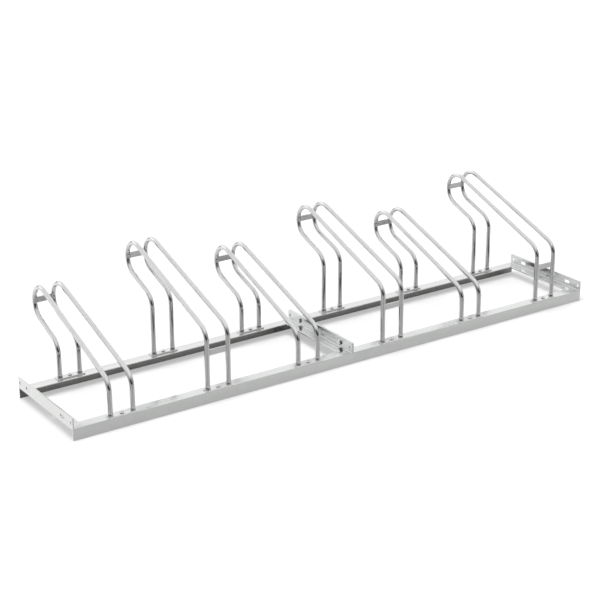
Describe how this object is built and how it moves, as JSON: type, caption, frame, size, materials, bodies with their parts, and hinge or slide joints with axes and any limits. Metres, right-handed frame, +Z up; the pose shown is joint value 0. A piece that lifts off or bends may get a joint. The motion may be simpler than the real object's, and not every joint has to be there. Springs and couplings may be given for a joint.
{
  "type": "floor bike rack",
  "caption": "Two-module floor bike rack: an angle-steel frame on the floor carries pairs of bent tubes, alternately low and high, that hold a wheel between them.",
  "frame": {"origin": "centre of the rack's footprint box, at floor level", "axes": "+X along the row of places, from the first low place to the last high place; +Y from the front feet towards the overhanging noses; +Z up"},
  "size_m": [2.1, 0.5393, 0.4141],
  "materials": {
    "galvanised_angle": "hot-dip galvanised, smooth and bright, faint flow marks",
    "galvanised_tube": "hot-dip galvanised, bright, drawn along the tube",
    "galvanised_flat": "hot-dip galvanised, satin, with weld seams at its ends",
    "zinc_fastener": "bright zinc-plated"
  },
  "bodies": {
    "root": {"front_rail_left": "galvanised_angle", "back_rail_left": "galvanised_angle", "front_rail_right": "galvanised_angle", "back_rail_right": "galvanised_angle", "end_angle_far_left": "galvanised_angle", "end_angle_mid_left": "galvanised_angle", "end_angle_mid_right": "galvanised_angle", "end_angle_far_right": "galvanised_angle", "hoop_1_left_tube": "galvanised_tube", "hoop_1_right_tube": "galvanised_tube", "hoop_2_left_tube": "galvanised_tube", "hoop_2_right_tube": "galvanised_tube", "hoop_3_left_tube": "galvanised_tube", "hoop_3_right_tube": "galvanised_tube", "hoop_4_left_tube": "galvanised_tube", "hoop_4_right_tube": "galvanised_tube", "hoop_5_left_tube": "galvanised_tube", "hoop_5_right_tube": "galvanised_tube", "hoop_6_left_tube": "galvanised_tube", "hoop_6_right_tube": "galvanised_tube", "nose_bar_1": "galvanised_flat", "nose_bar_2": "galvanised_flat", "nose_bar_3": "galvanised_flat", "nose_bar_4": "galvanised_flat", "nose_bar_5": "galvanised_flat", "nose_bar_6": "galvanised_flat", "front_bar_2": "galvanised_flat", "front_bar_4": "galvanised_flat", "front_bar_6": "galvanised_flat", "front_foot_plate_1": "galvanised_flat", "front_foot_plate_2": "galvanised_flat", "front_foot_plate_3": "galvanised_flat", "front_foot_plate_4": "galvanised_flat", "front_foot_plate_5": "galvanised_flat", "front_foot_plate_6": "galvanised_flat", "back_foot_plate_1": "galvanised_flat", "back_foot_plate_2": "galvanised_flat", "back_foot_plate_3": "galvanised_flat", "back_foot_plate_4": "galvanised_flat", "back_foot_plate_5": "galvanised_flat", "back_foot_plate_6": "galvanised_flat", "foot_bolts": "zinc_fastener", "foot_nuts": "zinc_fastener", "joining_bolts": "zinc_fastener", "joining_nuts": "zinc_fastener", "joining_washers": "zinc_fastener"}
  },
  "joints": []
}
